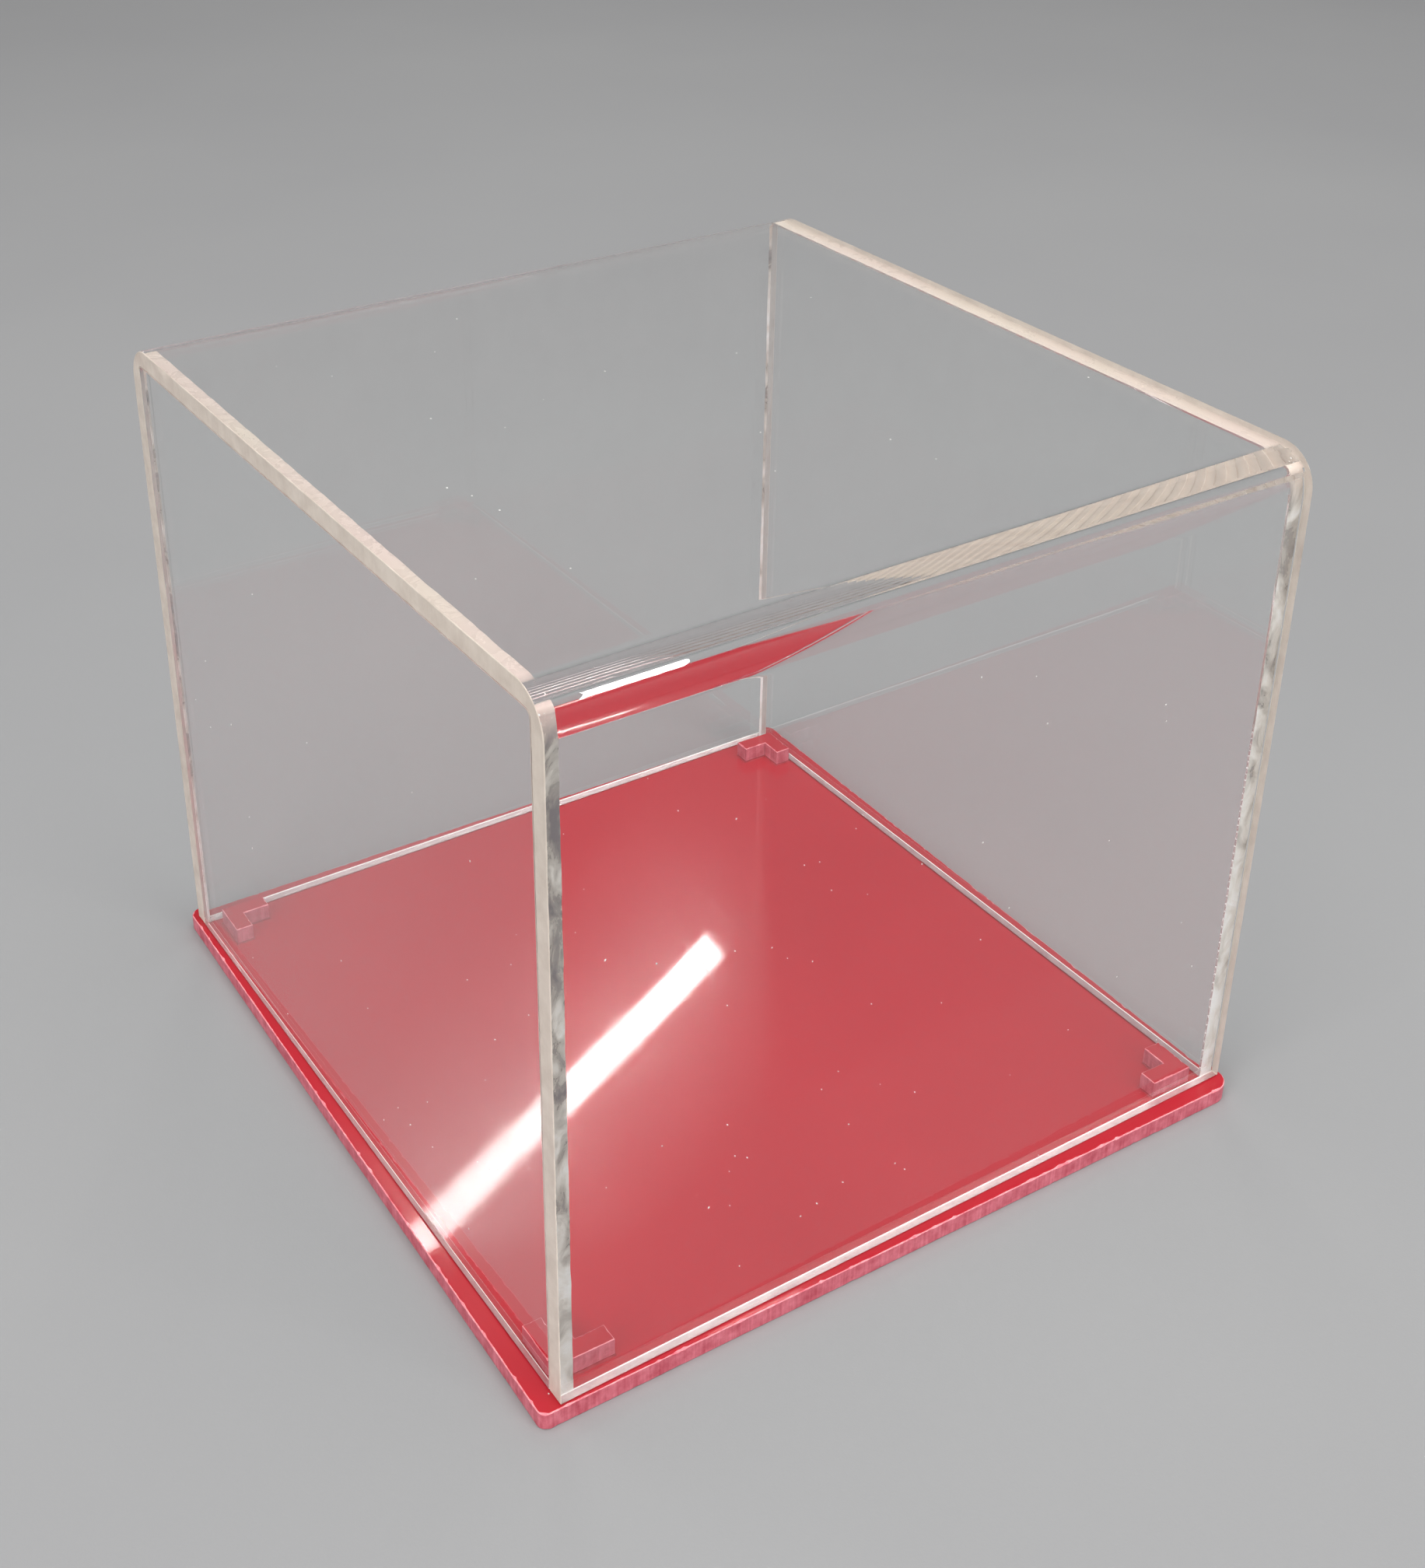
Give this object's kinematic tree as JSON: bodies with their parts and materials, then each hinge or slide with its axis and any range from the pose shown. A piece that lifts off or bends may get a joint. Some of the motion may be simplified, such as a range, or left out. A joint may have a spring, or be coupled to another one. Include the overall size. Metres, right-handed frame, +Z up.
{
  "type": "acrylic display cube",
  "caption": "Clear acrylic five-sided cover that lifts off a flat red acrylic base plate with L-shaped corner locators.",
  "frame": {"origin": "centre of the base plate's underside, on the surface it stands on", "axes": "+Z up, the way the cover lifts. The bent sheet's front wall faces -Y, and the flat side panels face -X and +X"},
  "size_m": [0.217, 0.224, 0.1928],
  "materials": {
    "red_acrylic": "polished faces, sawn edges",
    "clear_acrylic": "polished faces, sawn edges"
  },
  "bodies": {
    "base": {"base_plate": "red_acrylic", "locator_front_left": "red_acrylic", "locator_front_right": "red_acrylic", "locator_back_left": "red_acrylic", "locator_back_right": "red_acrylic"},
    "cover": {"cover_bent_sheet": "clear_acrylic", "cover_side_panel_left": "clear_acrylic", "cover_side_panel_right": "clear_acrylic"}
  },
  "joints": [
    {"name": "cover_lift", "type": "slide", "parent": "base", "child": "cover", "axis": [0, 0, 1], "range_m": [0, 0.2]}
  ]
}
